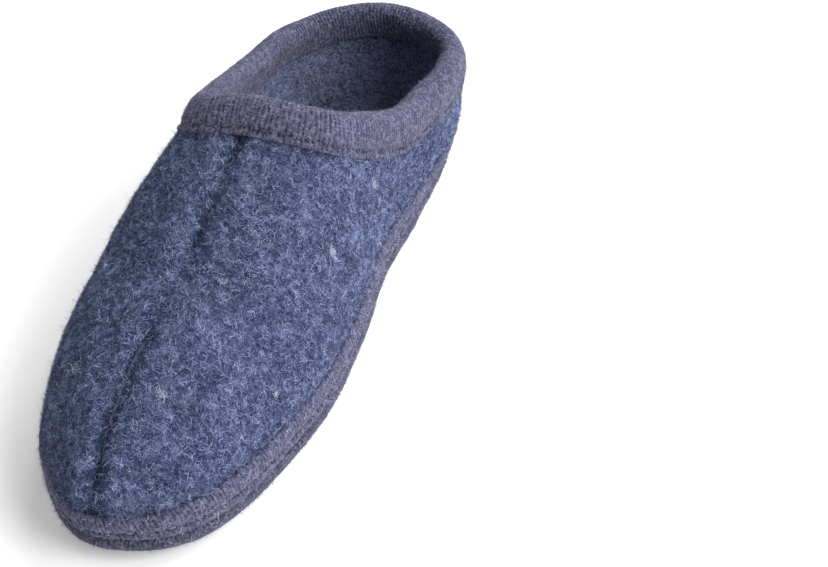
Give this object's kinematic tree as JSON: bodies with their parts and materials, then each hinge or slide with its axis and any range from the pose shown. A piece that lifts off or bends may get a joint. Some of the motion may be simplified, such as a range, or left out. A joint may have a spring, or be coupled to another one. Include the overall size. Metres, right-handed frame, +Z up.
{
  "type": "felt slipper",
  "caption": "Clog-shaped boiled-wool slipper for the left foot, with a hollow seamed upper, a rib-knit collar binding, a knit rand and a flat felt sole.",
  "frame": {"origin": "centre of the shoe's bounding box, on the floor it stands on", "axes": "+Y from toe to heel, +X towards the outer side of the left foot, +Z up"},
  "size_m": [0.0956, 0.275, 0.0864],
  "materials": {
    "felt": "matte, fuzzy boiled wool in heathered denim blue",
    "knit": "matte one-by-one rib knit in slate violet",
    "sole_felt": "matte pressed felt in slate violet"
  },
  "bodies": {
    "root": {"upper": "felt", "collar_binding": "knit", "sole_rand": "knit", "outsole": "sole_felt", "insole": "felt"}
  },
  "joints": []
}
